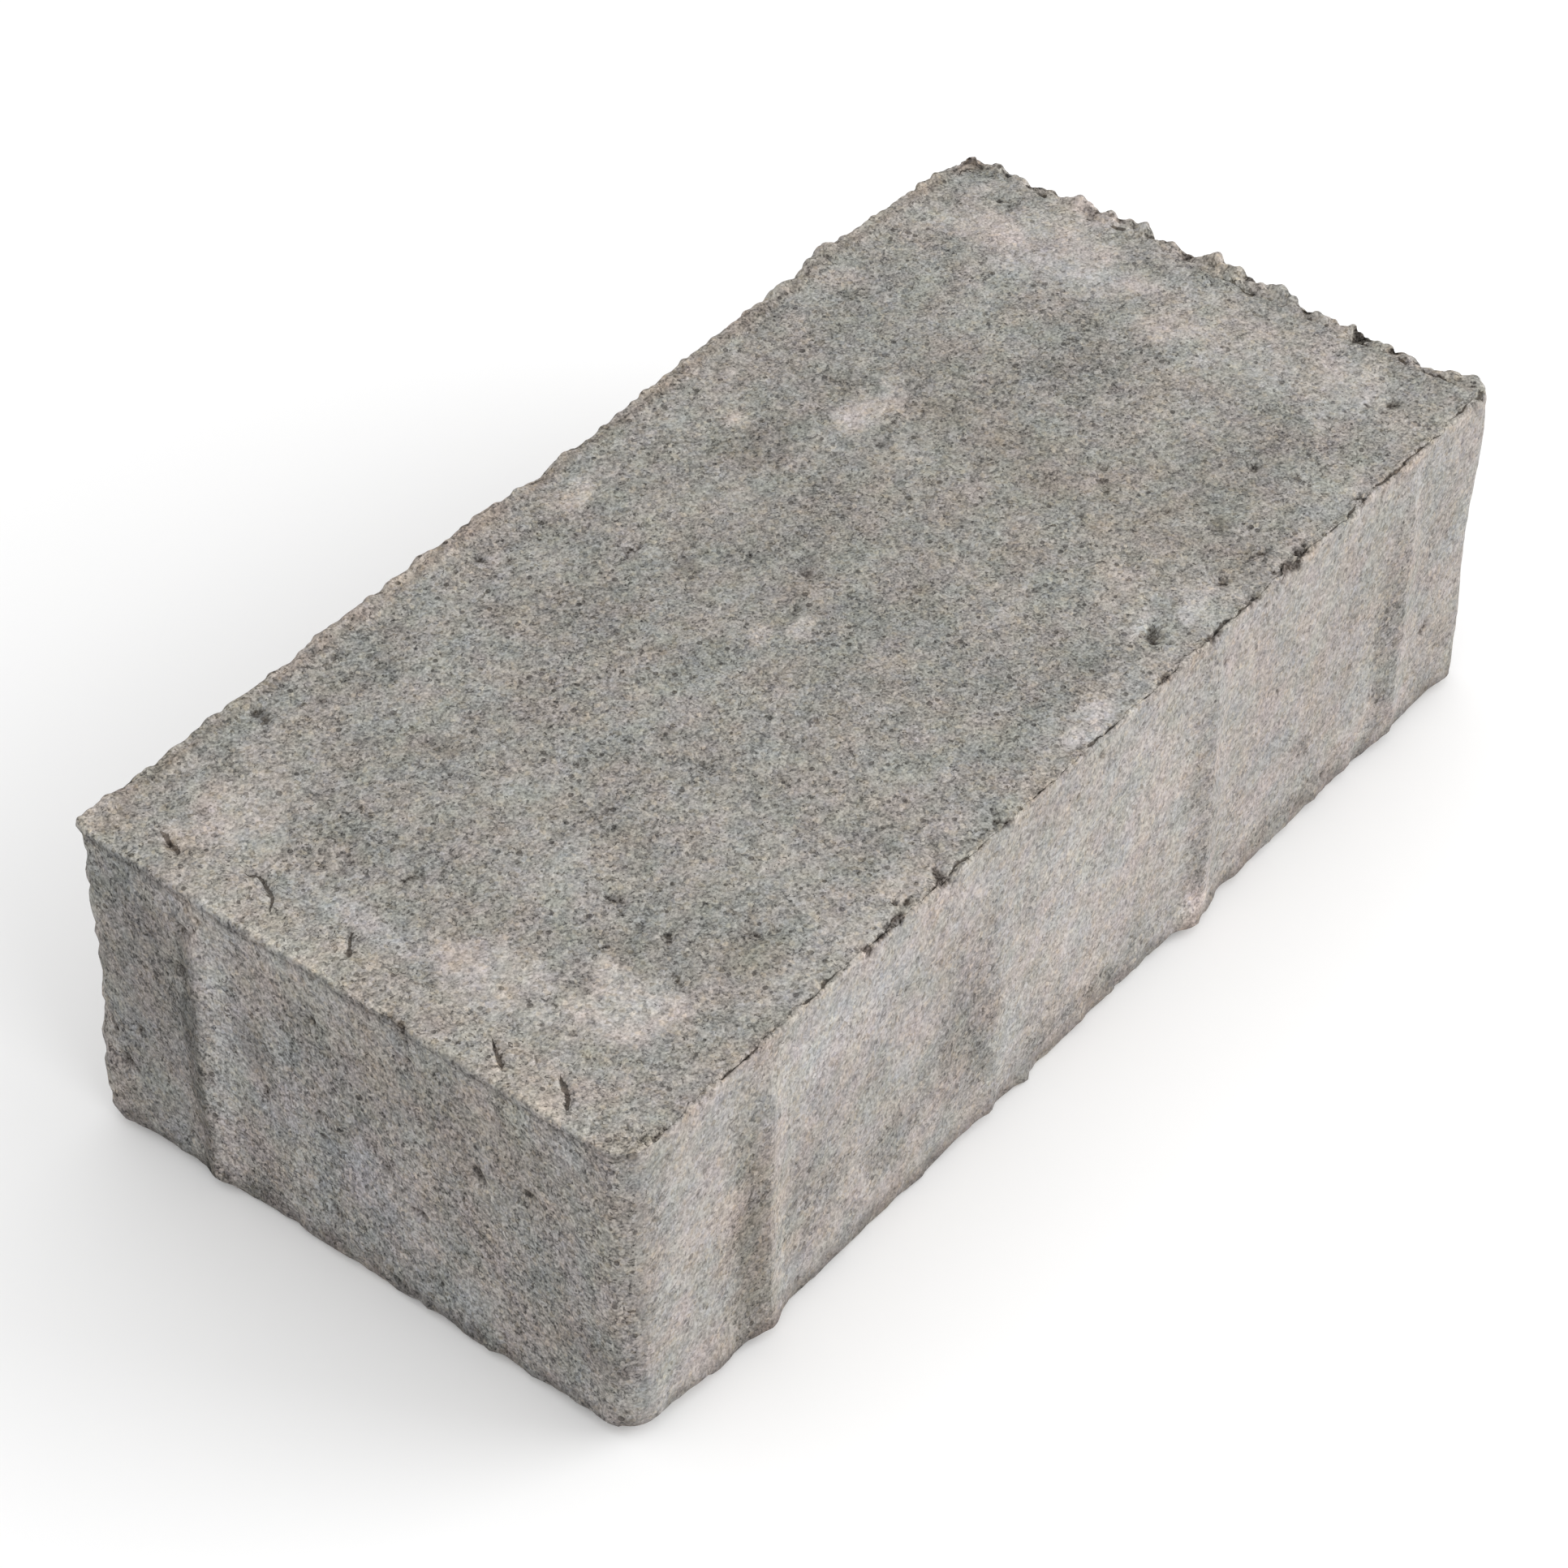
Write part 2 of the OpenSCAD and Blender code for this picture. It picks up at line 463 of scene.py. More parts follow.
def hollow_field(points, hollows):
    """Depth of the hollows at each point: every hollow is a bell, depth *
    exp(-(distance / radius)^2). Noise stretches the distance, so that the bell
    has an uneven outline, and each hollow is drawn out to its own side."""
    depth = np.zeros(len(points))
    uneven = 1 + 0.8 * lattice_noise(points, 1.2, 51)
    lengthwise = np.random.default_rng(52).normal(size=(len(hollows), 3))
    lengthwise /= np.linalg.norm(lengthwise, axis=1, keepdims=True)
    for (*centre, radius, deepest), way in zip(hollows, lengthwise):
        near = np.flatnonzero((np.abs(points - centre) < 4 * radius).all(axis=1))
        offset = points[near] - centre
        square = (offset ** 2).sum(axis=1) - 0.7 * (offset @ way) ** 2
        depth[near] = np.maximum(
            depth[near], deepest * np.exp(-square * (uneven[near] / radius) ** 2))
    return depth


def swell_field(points):
    """Sum of the swells, each height * exp(-(distance / reach)^2)."""
    total = np.zeros(len(points))
    for *centre, reach, height in SWELLS:
        total += height * bell(np.linalg.norm(points - centre, axis=1), reach)
    return total


def grain_field(points, grit):
    """Relief of the open grain of the concrete, in three sizes. The two finer
    ones grow with the grit."""
    broad = 0.12 * lattice_noise(points, 8.0, 61)
    finer = 0.10 * lattice_noise(points, 2.6, 62) + 0.10 * lattice_noise(points, 1.3, 63)
    return broad + grit * finer


def packed_crumbs(points):
    """Crumbs of two sizes, from about -0.7 between them to 0.8 on the largest."""
    return crumbs(points, 3.4, 71) + 0.75 * crumbs(points, 1.7, 72) - 0.95


def rim_field(points, run, packed):
    """Crumbs and notches of the raw rim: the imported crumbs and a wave, times the
    raggedness, less the notches. A bell of the run fades them down the wall and
    into the face."""
    x, y, _ = points.T
    reach = bell(run, np.where(run < 0, 2.2 + 0.8 * at_right(x), 3.2))
    notches = 0.9 * smooth_step(plan_noise(x, y, 4.2, 73), 0.2, 0.8) * at_right(x)
    waves = 0.6 * lattice_noise(points, 6.5, 74)
    return reach * (raggedness(x, y) * (packed + waves) - notches)


def foot_field(points):
    """Uneven lower edge of the walls: two noises times a bell about 1 mm above
    the ground."""
    uneven = 0.5 * lattice_noise(points, 3.4, 66) + 0.4 * lattice_noise(points, 2.0, 67)
    return uneven * bell(points[:, 2] - 1, 3.5)


def corner_chips(points):
    """Small breaks down the sharp upright corner at the back of the left end: two
    noises less 0.2, times a bell of the distance in plan from that corner."""
    x, y, _ = points.T
    near = bell(np.hypot(x + HALF_LENGTH, y - HALF_WIDTH), 4.0)
    breaks = 0.5 * lattice_noise(points, 1.8, 64) + 0.45 * lattice_noise(points, 4.0, 65)
    return near * (breaks - 0.2)


# -------------------------------------------------------------- colour patches

# Patches of the surface that stand out: x, y, z of the middle, half sizes along
# x, y and z, and strength
PALE_PATCHES = (
    (-87, 35, 59, 6, 10, 4, 0.75), (-87, -12, 59, 6, 7, 4, 1.0), (-83, -33, 59, 8, 8, 4, 1.45),
    (-92, 8, 59, 2.5, 17, 4, 0.5), (39, 21, 59, 7, 4, 4, 1.45), (24.7, 35.4, 59, 2, 3, 4, 0.9),
    (-4.3, 42.6, 59, 2.8, 2.2, 4, 1.5), (-11.7, 1, 59, 2, 1.5, 4, 1.1),
    (-7.4, -3, 59, 2, 1.5, 4, 1.6), (89, 24, 59, 10, 19, 4, 0.95),
    (89, -15, 59, 9, 25, 4, 0.45), (88, 31, 59, 4, 4, 4, 1.45), (92.6, -34.6, 59, 4, 4, 4, 0.8),
    (54, 44, 59, 11, 1.8, 4, 0.4), (24, -41, 59, 3.5, 1.5, 3, 1.3),
    (34, -44.6, 59, 4, 2.2, 3, 1.0), (3, -48, 59, 7, 2, 3, 1.4),
    (30, -47.5, 59, 50, 2.5, 3, 0.4), (-30, -46, 59, 60, 4, 3, 0.3),
    (-61, -51, 48, 13, 4, 8, 0.35), (-36, -51, 52, 14, 4, 6, 0.2),
    (2.5, -51, 31, 23, 4, 24, 0.25), (28, -51, 4, 4, 4, 3.5, 1.8),
    # The first patch on this line, on the left end at y 25.5, is a painted highlight on the lit
    # flank of the end rib
    (-103.5, 25.5, 30, 4, 3.2, 30, 0.35), (-103.5, -4, 23, 4, 8, 5, 0.35),
    (-103.5, 10, 30, 4, 9, 16, 0.25),
)
# The dark patches on the front wall at x -79, -28.5, -27 and 79 lie on rib flanks turned from the
# key lamp and add painted shade there
DARK_PATCHES = (
    (23, 9, 59, 49, 26, 4, 0.2), (-20, 24, 59, 9, 8, 4, 0.2), (25, 29, 59, 7, 4.5, 4, 0.5),
    (44, -14, 59, 7, 32, 4, 0.3), (60, -28, 59, 17, 11, 4, 0.3), (-63, -39, 59, 5, 4, 4, 0.35),
    (-70.3, 46.1, 59, 1.2, 3, 4, 0.4), (-7, 19, 59, 2, 2, 4, 0.9),
    (-26.7, -18.9, 59, 2, 2, 4, 0.5), (51, -36.7, 59, 2.5, 2, 4, 0.95),
    (46, -22.4, 59, 1.5, 1.5, 4, 0.3), (11, -11, 59, 2, 2, 4, 0.8), (-37, -2, 59, 2, 2, 4, 0.6),
    (-59, 21, 59, 2.2, 2.2, 4, 0.75), (-79, -51, 18, 4, 4, 16, 0.7),
    (-65, -51, 18, 7, 4, 10, 0.5), (-47.5, -51, 14.5, 6, 4, 5, 0.6),
    (-28.5, -51, 24, 8, 4, 13, 0.5), (-27, -51, 21, 4.5, 4, 8, 0.75),
    (1.5, -51, 6.5, 22, 4, 1.7, 0.6), (55, -51, 5.5, 22, 4, 1.7, 0.55),
    (57.6, -51, 16.3, 2.2, 4, 2.2, 0.4), (-98, -51, 40, 3, 4, 16, 0.3),
    (95, -51, 30, 7, 4, 24, 0.2), (79, -51, 22, 3, 4, 13, 0.3), (86, -51, 50, 2, 4, 7, 0.4),
    (-103.5, 39, 30, 4, 9, 32, 0.55), (-103.5, 19, 36, 4, 3, 4, 0.8),
    (-103.5, -20, 45, 4, 16, 9, 0.25), (-103.5, -44, 15.5, 4, 7, 4.5, 0.6),
    (-103.5, -6, 5, 4, 20, 3, 0.15),
)
WARM_PATCHES = (
    (-87, 35, 59, 6, 10, 4, 0.3), (-87, -12, 59, 6, 7, 4, 0.4), (-83, -33, 59, 8, 8, 4, 0.4),
    (24.7, 35.4, 59, 2, 3, 4, 1.3), (-63, -39, 59, 5, 4, 4, 1.0),
    (51, -36.7, 59, 2.5, 2, 4, 1.0), (-78, -51, 20, 6, 4, 20, 1.0),
    (28, -51, 4, 4, 4, 3.5, 0.8), (-103.5, -25, 48, 4, 18, 8, 0.7),
    (-103.5, 27.5, 56, 4, 2, 2.5, 1.8), (-103.5, 5, 50, 4, 13, 6, 0.5),
    (-103.5, -47, 40, 4, 5, 14, 0.6), (44, -14, 59, 12, 32, 4, 0.5),
)
COOL_PATCHES = (
    (-92, 8, 59, 2.5, 17, 4, 1.0), (85, 20, 59, 5, 10, 4, 0.9), (24, -41, 59, 3.5, 1.5, 3, 1.0),
    (34, -44.6, 59, 4, 2.2, 3, 0.8), (3, -48, 59, 7, 2, 3, 0.8), (-58, -51, 50, 14, 4, 8, 0.9),
    (-103.5, 19, 36, 4, 4, 5, 1.3), (-103.5, -4, 23, 4, 9, 7, 1.3),
    (-103.5, 38, 30, 4, 9, 30, 0.5), (-103.5, -6, 6, 4, 18, 5, 0.7),
    (-103.5, 9, 30, 4, 8, 16, 0.6),
)


def patch_field(points, patches, seed):
    """Strength of the nearest patch: 1 in the middle of an ellipsoid, 0 at 1.4
    times its half sizes, with the distance shaken by noise."""
    shaken = 1 + 0.4 * lattice_noise(points, 6.0, seed)
    shaken += 0.35 * lattice_noise(points, 2.2, seed + 1)
    total = np.zeros(len(points))
    for *place, strength in patches:
        share = np.linalg.norm((points - place[:3]) / place[3:], axis=1) * shaken
        total = np.maximum(total, strength * smooth_step(1.4 - share, 0, 0.9))
    return total


# --------------------------------------------------------------------- the skin

def rim_profile(run, radius):
    """Section over the rim at a way run along it: level on the upper side, a
    quarter circle of the worn radius, then straight down. Gives the inset, the
    drop and the angle that the surface has turned from level."""
    quarter = radius * math.pi / 4
    turn = np.clip(run / radius + math.pi / 4, 0, math.pi / 2)
    inset = radius * (1 - np.sin(turn)) + np.maximum(-run - quarter, 0)
    drop = radius * (1 - np.cos(turn)) + np.maximum(run - quarter, 0)
    return inset, drop, turn


def rim_belt():
    """Points, normals and run of the fine belt, row by row from the face over
    the rim and down the wall."""
    share_x, share_y = (ring_of(share) for share in plan_shares(1))
    edge_x, edge_y = drawn_in(share_x, share_y, 0.0)
    out_x, out_y = outward(edge_x, edge_y)
    t = np.linspace(-1, 1, RIM_ROWS + 1)[:, None]
    run = RIM_REACH * (0.7 * t + 0.3 * t ** 3) + 0 * share_x
    inset, drop, turn = rim_profile(run, rim_radius(edge_x, edge_y))
    x, y = drawn_in(share_x, share_y, inset)
    points = np.stack([x, y, upper_level(x, y) - drop], axis=-1)
    normals = np.stack([out_x * np.sin(turn), out_y * np.sin(turn), np.cos(turn)], axis=-1)
    return points, normals, run


def wall_belt():
    """Points, normals and run of the coarser belt: straight down the wall, then
    a quarter circle of the foot's radius, shared out by length."""
    share_x, share_y = (ring_of(share) for share in plan_shares(2))
    edge_x, edge_y = drawn_in(share_x, share_y, 0.0)
    out_x, out_y = outward(edge_x, edge_y)
    start = RIM_REACH + STEP_WIDTH
    _, drop, _ = rim_profile(start, rim_radius(edge_x, edge_y))
    foot = foot_radius(edge_x, edge_y)
    straight = upper_level(edge_x, edge_y) - drop - foot
    way = np.linspace(0, 1, WALL_ROWS + 1)[:, None] * (straight + foot * math.pi / 2)
    turn = np.clip((way - straight) / foot, 0, math.pi / 2)
    x, y = drawn_in(share_x, share_y, foot * (1 - np.cos(turn)))
    z = foot + np.maximum(straight - way, 0) - foot * np.sin(turn)
    normals = np.stack([out_x * np.cos(turn), out_y * np.cos(turn), -np.sin(turn)], axis=-1)
    return np.stack([x, y, z], axis=-1), normals, start + way


def level_grid(inset, step, up):
    """Points, normals and run of a grid on the upper side or the underside. On
    the upper side the run is less than 0, by the distance from the wall, and on
    the underside it is the height plus that distance."""
    share_x, share_y = plan_shares(step)
    x, y = drawn_in(share_x, share_y, inset)
    z = upper_level(x, y) if up else 0 * x
    wall_gap = -outline_distance(x, y, HALF_LENGTH, HALF_WIDTH, CORNER_RADIUS)
    normals = np.zeros(x.shape + (3,))
    normals[..., 2] = 1.0 if up else -1.0
    return np.stack([x, y, z], axis=-1), normals, -wall_gap if up else TOP + wall_gap


def grid_faces(numbers):
    """Four-sided faces of a grid of point numbers."""
    corners = [numbers[:-1, :-1], numbers[1:, :-1], numbers[1:, 1:], numbers[:-1, 1:]]
    return np.stack(corners, axis=-1).reshape(-1, 4)


def belt_faces(numbers):
    """Faces of a belt that closes on itself."""
    return grid_faces(np.concatenate([numbers, numbers[:, :1]], axis=1))


def stepping_faces(full, half):
    """Three-sided faces between a ring and one with half as many points: three
    for every two steps of the fuller ring."""
    start, middle, end = full[0::2], full[1::2], np.roll(full, -2)[0::2]
    after = np.roll(half, -1)
    return np.concatenate([
        np.stack([middle, start, half], axis=-1),
        np.stack([middle, half, after], axis=-1),
        np.stack([end, middle, after], axis=-1)])


def build_skin():
    """The skin before it is moved: points, normals, run and faces. The grids
    inside it have a half, a quarter and an eighth of the fine belt's columns."""
    sheets = [
        rim_belt(), level_grid(RIM_REACH + STEP_WIDTH, 2, True), wall_belt(),
        level_grid(UNDER_MARGIN, 4, False), level_grid(UNDER_BASE, 8, False)]
    numbers, first = [], 0
    for points, _, _ in sheets:
        shape = points.shape[:2]
        numbers.append(first + np.arange(shape[0] * shape[1]).reshape(shape))
        first += shape[0] * shape[1]
    rim, face, wall, margin, base = numbers
    faces = [
        belt_faces(rim), grid_faces(face), belt_faces(wall), grid_faces(base)[:, ::-1],
        stepping_faces(rim[0], ring_of(face))[:, ::-1], stepping_faces(rim[-1], wall[0]),
        stepping_faces(wall[-1], ring_of(margin)), stepping_faces(ring_of(margin), ring_of(base))]
    points, normals, run = (
        np.concatenate([sheet[part].reshape(-1, *sheet[part].shape[2:]) for sheet in sheets])
        for part in range(3))
    return points, normals, run, faces


def grit_field(points, normals):
    """How open and speckled the grain is: 1 on the face, more at the ends, less
    in the pale patches, and least on the long walls, where the mould has rubbed
    the panels smooth."""
    x, y, _ = points.T
    on_side = (np.abs(y) > HALF_WIDTH - 1) * (1 - np.abs(normals[:, 2]))
    on_end = (np.abs(x) > HALF_LENGTH - 1) * (1 - np.abs(normals[:, 2]))
    # Where the dark patches and the painted shade before the ribs lie, the long walls keep their
    # open grain
    dark_and_shaded = patch_field(points, DARK_PATCHES, 93) + np.maximum(rib_shade_and_highlight_field(points), 0)
    rough = np.clip(dark_and_shaded, 0, 1)
    polished = np.clip(patch_field(points, PALE_PATCHES, 91), 0, 1) * (1 - on_side)
    return 1 + 0.12 * on_end - 0.36 * on_side * (1 - rough) - 0.3 * polished


def moved_points(points, normals, run, hollow, packed, grit):
    """Every point moved along its normal by swells, ribs, rim, grain, hollows
    and cracks. The underside is moved inwards only, by 0.6 of what they say."""
    x, y, _ = points.T
    front_groove = 0.7 * bell(front_crack(x, y, run), 1.6) * at_front(y)
    lip_groove = 0.6 * bell(lip_crack(x, y), 1.6) * (np.abs(normals[:, 2]) > 0.5)
    move = swell_field(points) + rib_field(points) + rim_field(points, run, packed)
    move += grain_field(points, grit) + foot_field(points) + corner_chips(points)
    move -= hollow + np.maximum(front_groove, lip_groove)
    under = normals[:, 2] < -0.5
    move[under] = np.minimum(move[under], 0) * 0.6
    moved = points + normals * move[:, None]
    moved[:, 2] = np.clip(moved[:, 2], 0, HIGHEST_CRUMB)
    return moved


def surface_marks(points, normals, run, hollow, packed, grit):
    """Masks that the concrete's finish reads, one number a point."""
    x, y, z = points.T
    beyond = plate_distance(x, y)
    ragged_edge = 0.5 * plan_noise(x, y, 3.0, 81) + 0.3 * lattice_noise(points, 1.5, 82)
    ragged_edge *= 1 - 0.7 * at_left(x)
    spill = 0.35 + 1.3 * at_front(y) * smooth_step(plan_noise(x, y * 0, 6.0, 83), -0.5, 0.6)
    spill *= 1 - 0.7 * at_left(x)
    lip = smooth_step(beyond, -1.0, 0.8) * smooth_step(spill + ragged_edge - run, -0.25, 0.25)
    wall = 1 - np.abs(normals[:, 2])
    at_end_wall = wall * (x < -HALF_LENGTH + 3)
    # Painted shade along the foot, where the wall turns under towards the ground
    foot_shade = bell(z - 1.8 + 1.8 * lattice_noise(points, 2.4, 84), 2.1)
    # Painted shade in the gaps between the crumbs
    crevice = smooth_step(-packed, 0.05, 0.5) * bell(run, 2.6)
    crevice *= np.maximum(at_right(x), 0.5 * at_back(y))
    return {
        "lip": lip * (1 + 0.5 * at_back(y)),
        # Painted highlight along the upper edge of the left end
        "arris_highlight": at_left(x) * bell(run + 0.5, 0.7),
        # Painted shade in the hollows and in the gaps between the crumbs
        "recess_shade": np.clip(np.maximum(hollow / 0.7, crevice), 0, 1),
        "front_crack": np.clip(front_crack(x, y, run), -20, 20),
        "lip_crack": np.where(run > 0.5, FAR, lip_crack(x, y)),
        # Painted shade and painted highlight on the rib flanks
        "rib_shade_and_highlight": rib_shade_and_highlight_field(points),
        "end_wall": at_end_wall,
        "wall": wall,
        # Painted shade under the upper edge of the left end, along the foot and in the crease
        # inside the back lip
        "painted_shade": at_end_wall * bell(run - 1.1, 0.8) + 1.7 * foot_shade
        + at_back(y) * bell(beyond - 0.6, 0.7) * (run < 0),
        "grit": grit,
        "pale": patch_field(points, PALE_PATCHES, 91),
        "dark": patch_field(points, DARK_PATCHES, 93),
        "warm": patch_field(points, WARM_PATCHES, 95) - patch_field(points, COOL_PATCHES, 97),
    }


# Size of the square sheet and where the sides start on it, in mm, and the smaller
# scale at which the underside lies on it
SHEET_SIZE = 272.0
SHEET_COLUMNS = (1.0, 105.0, 167.0, 229.0)
SHEET_ROWS = (1.0, 63.0)
UNDERSIDE_SHARE = 0.4


def bake_sheet(points, normals, corners, starts, sizes):
    """Place of every face corner on one square sheet. Each face lies on the side
    of the stone that it faces most, and the six sides lie beside each other."""
    facing = np.add.reduceat(normals[corners], starts)
    axis = np.abs(facing).argmax(axis=1)
    side = 2 * axis + (facing[np.arange(len(facing)), axis] > 0)
    side = np.repeat(side, sizes)
    along, across, up = points[corners].T + [[HALF_LENGTH], [HALF_WIDTH], [0]]
    near, second, third, last = SHEET_COLUMNS
    low, high = SHEET_ROWS
    u = np.choose(side, [
        near + across, second + across, second + up, third + up,
        last + UNDERSIDE_SHARE * across, near + across])
    v = np.choose(side, [
        low + up, low + up, high + along, high + along,
        high + UNDERSIDE_SHARE * along, high + along])
    return np.stack([u, v], axis=-1) / SHEET_SIZE


def make_stone():
    """The stone's mesh in metres, with its masks as point attributes."""
    points, normals, run, faces = build_skin()
    hollow = hollow_field(points, np.concatenate([HOLLOWS, scattered_hollows()]))
    packed = packed_crumbs(points)
    grit = grit_field(points, normals)
    moved = moved_points(points, normals, run, hollow, packed, grit)
    corners = np.concatenate([part.ravel() for part in faces])
    sizes = np.concatenate([np.full(len(part), part.shape[1]) for part in faces])
    starts = np.concatenate([[0], np.cumsum(sizes)[:-1]])

    mesh = bpy.data.meshes.new("paving_stone_skin")
    mesh.vertices.add(len(points))
    mesh.vertices.foreach_set("co", (moved * MM).ravel())
    mesh.loops.add(len(corners))
    mesh.loops.foreach_set("vertex_index", corners)
    mesh.polygons.add(len(sizes))
    mesh.polygons.foreach_set("loop_start", starts)
    mesh.update(calc_edges=True)
    sheet = mesh.uv_layers.new(name="OFBake")
    sheet.data.foreach_set("uv", bake_sheet(points, normals, corners, starts, sizes).ravel())
    for name, values in surface_marks(points, normals, run, hollow, packed, grit).items():
        mesh.attributes.new(name, "FLOAT", "POINT").data.foreach_set("value", values)
    mesh.polygons.foreach_set("use_smooth", np.ones(len(sizes), dtype=bool))
    stone = bpy.data.objects.new("paving_stone_skin", mesh)
    bpy.context.collection.objects.link(stone)
    return stone


# ----------------------------------------------------------------- the concrete

class Finish:
    """Small helper that adds linked nodes to one material."""

    def __init__(self, name):
        self.material = bpy.data.materials.new(name)
        self.material.use_nodes = True
        self.tree = self.material.node_tree
        self.tree.nodes.clear()
        self.place = None

    def add(self, kind, inputs=(), **settings):
        """New node with its settings, and inputs as a number, colour or socket."""
        node = self.tree.nodes.new(kind)
        for key, value in settings.items():
            setattr(node, key, value)
        for key, value in dict(inputs).items():
            if isinstance(value, bpy.types.NodeSocket):
                self.tree.links.new(value, node.inputs[key])
            else:
                node.inputs[key].default_value = value
        return node

    def math(self, operation, *values, clamp=False):
        """Result of a maths node."""
        node = self.add("ShaderNodeMath", enumerate(values), operation=operation, use_clamp=clamp)
        return node.outputs[0]

    def moved_place(self, shift):
        """The pattern's coordinates, shifted so that two patterns don't agree."""
        inputs = {0: self.place, 1: (shift, 0.7 * shift, 0.4 * shift)}
        return self.add("ShaderNodeVectorMath", inputs, operation="ADD").outputs[0]

    def noise(self, size, detail=2.0, roughness=0.5, shift=0.0, twist=0.0):
        """Noise from 0 to 1 with features of the given size in mm."""
        inputs = {"Vector": self.moved_place(shift), "Scale": 1 / size, "Detail": detail,
                  "Roughness": roughness, "Distortion": twist}
        return self.add("ShaderNodeTexNoise", inputs).outputs["Fac"]

    def cells(self, size, shift=0.0):
        """Random cells of the given size in mm: distance and random colour."""
        inputs = {"Vector": self.moved_place(shift), "Scale": 1 / size}
        node = self.add("ShaderNodeTexVoronoi", inputs)
        return node.outputs["Distance"], node.outputs["Color"]

    def ramp(self, factor, low, high, to_low=0.0, to_high=1.0):
        """Straight change from to_low at low to to_high at high, held outside."""
        inputs = {"Value": factor, "From Min": low, "From Max": high,
                  "To Min": to_low, "To Max": to_high}
        return self.add("ShaderNodeMapRange", inputs).outputs["Result"]

    def mix(self, factor, first, second, blend="MIX"):
        """Blend of two colours, which runs on beyond them outside 0 and 1."""
        settings = {"data_type": "RGBA", "blend_type": blend, "clamp_factor": False}
        node = self.add("ShaderNodeMix", **settings)
        for socket, value in ((0, factor), (6, first), (7, second)):
            if isinstance(value, bpy.types.NodeSocket):
                self.tree.links.new(value, node.inputs[socket])
            else:
                node.inputs[socket].default_value = value
        return node.outputs[2]

    def tint(self, colour, factor, by):
        """Colour multiplied by another one as far as factor says."""
        return self.mix(factor, colour, self.mix(1.0, colour, (*by, 1.0), "MULTIPLY"))

    def scaled(self, colour, brightness):
        """Colour multiplied by a number from a socket."""
        return self.mix(1.0, colour, brightness, "MULTIPLY")

    def mark(self, name):
        """One of the stone's own masks."""
        return self.add("ShaderNodeAttribute", attribute_name=name).outputs["Fac"]


def paste_colour(make):
    """Cement paste that leans to grey green or to pink by one noise, and to blue or to yellow by
    another, tinted by the stone's patches, a few of which paint shade and highlight on rib flanks,
    by its beige lip, by a painted highlight along the upper edge of the left end, and by its walls,
    the left end darker and cooler, partly as painted shade."""
    reddish = make.ramp(make.noise(7.5, 2.0, 0.7, shift=11.0), 0.34, 0.66)
    yellowish = make.ramp(make.noise(5.5, 2.0, 0.7, shift=83.0), 0.34, 0.66, -1.0, 1.0)
    paste = make.mix(reddish, (0.249, 0.2505, 0.232, 1), (0.283, 0.257, 0.233, 1))
    paste = make.tint(paste, yellowish, (1.0, 1.0, 0.965))
    paste = make.tint(paste, make.mark("warm"), (1.03, 1.0, 0.965))
    paste = make.tint(paste, make.mark("pale"), (1.41, 1.38, 1.40))
    paste = make.tint(paste, make.mark("dark"), (0.60, 0.595, 0.58))
    paste = make.tint(paste, make.mark("lip"), (1.12, 1.08, 1.055))
    # Painted highlight along the upper edge of the left end
    paste = make.tint(paste, make.mark("arris_highlight"), (1.15, 1.14, 1.12))
    paste = make.tint(paste, make.mark("wall"), (1.02, 0.995, 1.01))
    # The left end is made darker and cooler: partly painted shade of the side turned from the
    # lamps, partly its own cooler tone
    return make.tint(paste, make.mark("end_wall"), (0.875, 0.891, 0.897))


def grain_shade(make, fine, pick):
    """Brightness of the grain about 1: clouds of three sizes, fine noise and a
    tone of its own for each sand grain, all stronger where the grit is."""
    sway = make.math("MULTIPLY_ADD", make.noise(16.0, 2.0, 0.5, shift=23.0), 0.66, -0.33)
    for size, shift, amount in ((5.0, 40.0, 0.34), (2.2, 57.0, 0.32)):
        level = make.math("SUBTRACT", make.noise(size, 2.0, 0.5, shift=shift), 0.5)
        sway = make.math("MULTIPLY_ADD", level, amount, sway)
    sway = make.math("MULTIPLY_ADD", make.math("SUBTRACT", fine, 0.5), 2.0, sway)
    sway = make.math("MULTIPLY_ADD", make.math("SUBTRACT", pick, 0.5), 0.6, sway)
    return make.math("MULTIPLY_ADD", sway, make.mark("grit"), 1.0)


def dark_pores(make):
    """Mask of the small dark marks: specks, each in its own cell, short pores
    that gather in groups, and thin curved scratches along the level lines of a
    noise."""
    far, chosen = make.cells(1.5, shift=19.0)
    draw = make.add("ShaderNodeSeparateColor", {0: chosen}).outputs[0]
    size = make.ramp(draw, 0.66, 1.0, -0.1, 0.32)
    specks = make.ramp(make.math("SUBTRACT", size, far), -0.03, 0.05)
    gather = make.ramp(make.noise(5.0, 2.0, 0.5, shift=71.0), 0.35, 0.65, 0.03, -0.03)
    open_place = make.math("ADD", make.noise(0.8, 2.0, 0.6, shift=31.0, twist=0.5), gather)
    short = make.ramp(open_place, 0.34, 0.31)
    line = make.math("ABSOLUTE", make.math("SUBTRACT", make.noise(1.5, 1.0, 0.5, shift=120.0), 0.5))
    broken = make.ramp(make.noise(1.9, 1.0, 0.5, shift=131.0), 0.62, 0.68, 0.0, 0.8)
    curved = make.math("MULTIPLY", make.ramp(line, 0.040, 0.018), broken)
    pores = make.math("MAXIMUM", make.math("MAXIMUM", specks, short), curved)
    return make.math("MULTIPLY", pores, make.ramp(make.mark("grit"), 0.4, 1.0, 0.3, 0.85))


def crack_dirt(make, frayed):
    """Mask of the open cracks, the larger of the two. Noise stretches the distance
    from each, so that its width changes all the time."""
    width_change = make.ramp(frayed, 0.3, 0.7, 0.5, 1.6)
    cracks = []
    for name in ("front_crack", "lip_crack"):
        distance = make.math("ABSOLUTE", make.mark(name))
        cracks.append(make.ramp(make.math("MULTIPLY", distance, width_change), 1.4, 0.8))
    return make.math("MAXIMUM", *cracks)


